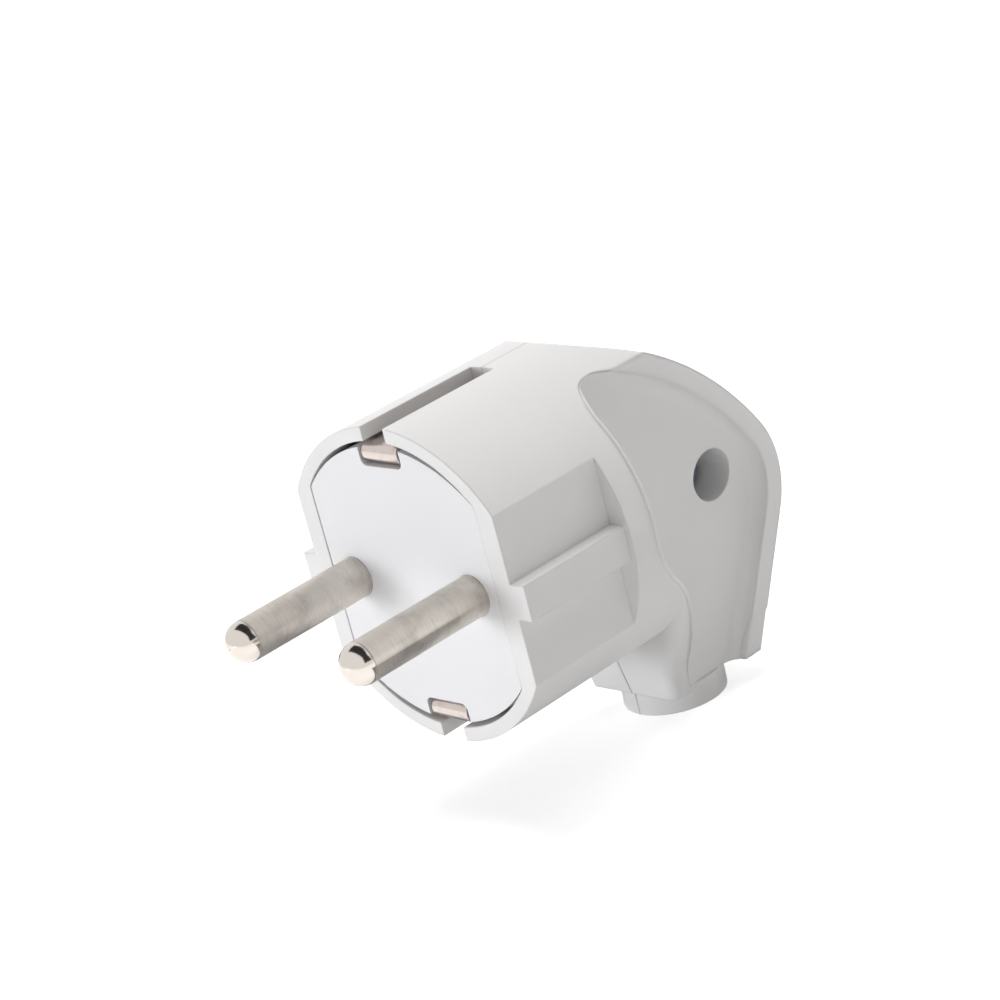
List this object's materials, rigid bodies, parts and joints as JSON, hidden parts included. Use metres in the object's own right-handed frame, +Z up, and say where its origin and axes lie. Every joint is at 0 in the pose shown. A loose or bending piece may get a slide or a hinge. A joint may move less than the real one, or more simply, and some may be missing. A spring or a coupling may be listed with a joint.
{
  "type": "angled grounded plug",
  "caption": "Angled rewirable earthed mains plug: round barrel with side earth clips and round pins, an arched flat grip with finger recesses, and a cord collar facing down.",
  "frame": {"origin": "on the contact face, midway between the axes of the two pins", "axes": "+Y runs from the contact face back through the barrel into the grip, against the pins; +Z is up, away from the cord collar; +X is to the right, looking along +Y"},
  "size_m": [0.0375, 0.0683, 0.048],
  "materials": {
    "white_plastic": "moulded, semi-gloss",
    "nickel_brass": "nickel-plated",
    "plain_brass": "stamped",
    "zinc_steel": "zinc-plated",
    "clamp_plastic": "moulded, matt"
  },
  "bodies": {
    "root": {"casing_right": "white_plastic", "casing_left": "white_plastic", "contact_carrier": "white_plastic", "pin_left": "nickel_brass", "pin_right": "nickel_brass", "earth_strap": "nickel_brass", "earth_nut": "plain_brass", "earth_clamp_plate": "plain_brass", "terminal_screw_left": "zinc_steel", "terminal_screw_right": "zinc_steel", "earth_screw": "zinc_steel", "clamp_screw_front": "zinc_steel", "clamp_screw_rear": "zinc_steel", "casing_screw": "zinc_steel", "casing_nut": "zinc_steel", "cord_clamp": "clamp_plastic"}
  },
  "joints": []
}
